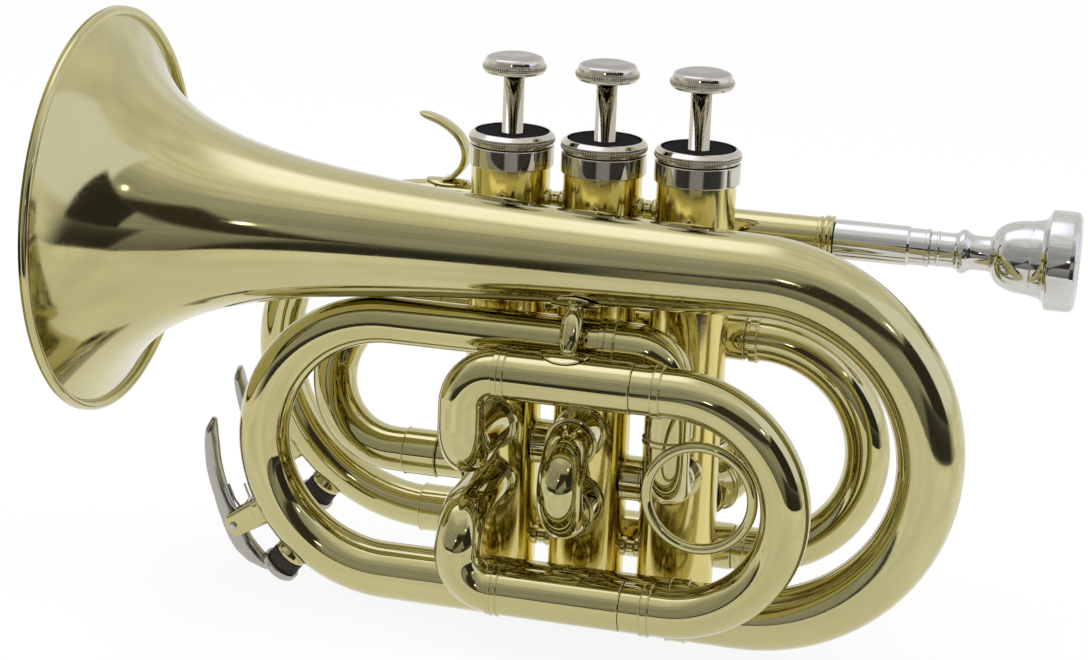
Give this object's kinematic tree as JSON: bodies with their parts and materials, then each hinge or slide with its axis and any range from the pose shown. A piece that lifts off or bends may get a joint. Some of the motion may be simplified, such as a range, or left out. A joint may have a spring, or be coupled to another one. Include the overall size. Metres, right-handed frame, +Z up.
{
  "type": "pocket trumpet",
  "caption": "Compact wrapped brass trumpet with piston valves, pull slides with a finger ring, sprung water keys and a flared bell.",
  "frame": {"origin": "the middle valve's axis, halfway up the valve casings, where the hand grips the valve block", "axes": "+X towards the player's mouth (the bell faces -X), +Y to the player's right, +Z up along the valves"},
  "size_m": [0.2621, 0.1143, 0.1644],
  "materials": {
    "brass": "polished, clear lacquer",
    "nickel": "polished nickel plate",
    "steel": "plain",
    "felt": "black felt",
    "cork": "dark natural cork"
  },
  "bodies": {
    "horn": {"bell": "brass", "bell_bow": "brass", "tail_bow": "brass", "tail_elbow": "brass", "bell_brace": "brass", "leadpipe": "brass", "leadpipe_brace": "brass", "mouthpiece_receiver": "nickel", "front_bow": "brass", "tuning_lower_sleeve": "brass", "tuning_upper_sleeve": "brass", "inner_bow": "brass", "pinky_hook": "brass", "interport_12": "brass", "interport_23": "brass", "third_upper_knuckle": "brass", "third_lower_knuckle": "brass", "third_upper_sleeve": "brass", "third_lower_sleeve": "brass", "casing_1": "brass", "valve_guide_1": "nickel", "top_cap_1": "nickel", "cap_felt_1": "felt", "bottom_cap_1": "nickel", "casing_2": "brass", "valve_guide_2": "nickel", "top_cap_2": "nickel", "cap_felt_2": "felt", "bottom_cap_2": "nickel", "casing_3": "brass", "valve_guide_3": "nickel", "top_cap_3": "nickel", "cap_felt_3": "felt", "bottom_cap_3": "nickel", "tail_key_saddle": "brass", "tail_key_screw": "steel", "tail_key_nipple": "brass", "front_key_saddle": "brass", "front_key_screw": "steel", "front_key_nipple": "brass"},
    "third_crook": {"third_slide": "brass", "finger_ring": "brass"},
    "second_crook": {"second_slide": "brass"},
    "first_crook": {"first_slide": "brass"},
    "tuning_crook": {"tuning_slide": "brass"},
    "player_mouthpiece": {"mouthpiece": "nickel"},
    "valve_1": {"piston_1": "nickel", "button_1": "nickel", "valve_spring_1": "steel"},
    "valve_2": {"piston_2": "nickel", "button_2": "nickel", "valve_spring_2": "steel"},
    "valve_3": {"piston_3": "nickel", "button_3": "nickel", "valve_spring_3": "steel"},
    "tail_water_key": {"tail_key_lever": "nickel", "tail_key_cork": "cork"},
    "front_water_key": {"front_key_lever": "nickel", "front_key_cork": "cork"}
  },
  "joints": [
    {"name": "press_valve_1", "type": "slide", "parent": "horn", "child": "valve_1", "axis": [0, 0, -1], "range_m": [0, 0.016], "stiffness_N_per_m": 110, "springref_m": -0.025, "deforming": ["valve_spring_1"]},
    {"name": "press_valve_2", "type": "slide", "parent": "horn", "child": "valve_2", "axis": [0, 0, -1], "range_m": [0, 0.016], "stiffness_N_per_m": 110, "springref_m": -0.025, "deforming": ["valve_spring_2"]},
    {"name": "press_valve_3", "type": "slide", "parent": "horn", "child": "valve_3", "axis": [0, 0, -1], "range_m": [0, 0.016], "stiffness_N_per_m": 110, "springref_m": -0.025, "deforming": ["valve_spring_3"]},
    {"name": "pull_third_slide", "type": "slide", "parent": "horn", "child": "third_crook", "axis": [1, 0, 0], "range_m": [0, 0.025]},
    {"name": "pull_second_slide", "type": "slide", "parent": "horn", "child": "second_crook", "axis": [0, -1, 0], "range_m": [0, 0.008]},
    {"name": "pull_first_slide", "type": "slide", "parent": "horn", "child": "first_crook", "axis": [0.4848, 0.8746, 0], "range_m": [0, 0.005]},
    {"name": "pull_tuning_slide", "type": "slide", "parent": "horn", "child": "tuning_crook", "axis": [1, 0, 0], "range_m": [0, 0.03]},
    {"name": "pull_mouthpiece", "type": "slide", "parent": "horn", "child": "player_mouthpiece", "axis": [1, 0, 0], "range_m": [0, 0.024]},
    {"name": "open_tail_key", "type": "hinge", "parent": "horn", "child": "tail_water_key", "pos_m": [-0.09559, -0.0266, -0.04868], "axis": [0, 1, 0], "range_deg": [0, 12], "stiffness_Nm_per_rad": 0.04, "springref_deg": -20.05},
    {"name": "open_front_key", "type": "hinge", "parent": "horn", "child": "front_water_key", "pos_m": [-0.10137, 0.018, -0.04525], "axis": [0, 1, 0], "range_deg": [0, 12], "stiffness_Nm_per_rad": 0.04, "springref_deg": -20.05}
  ]
}
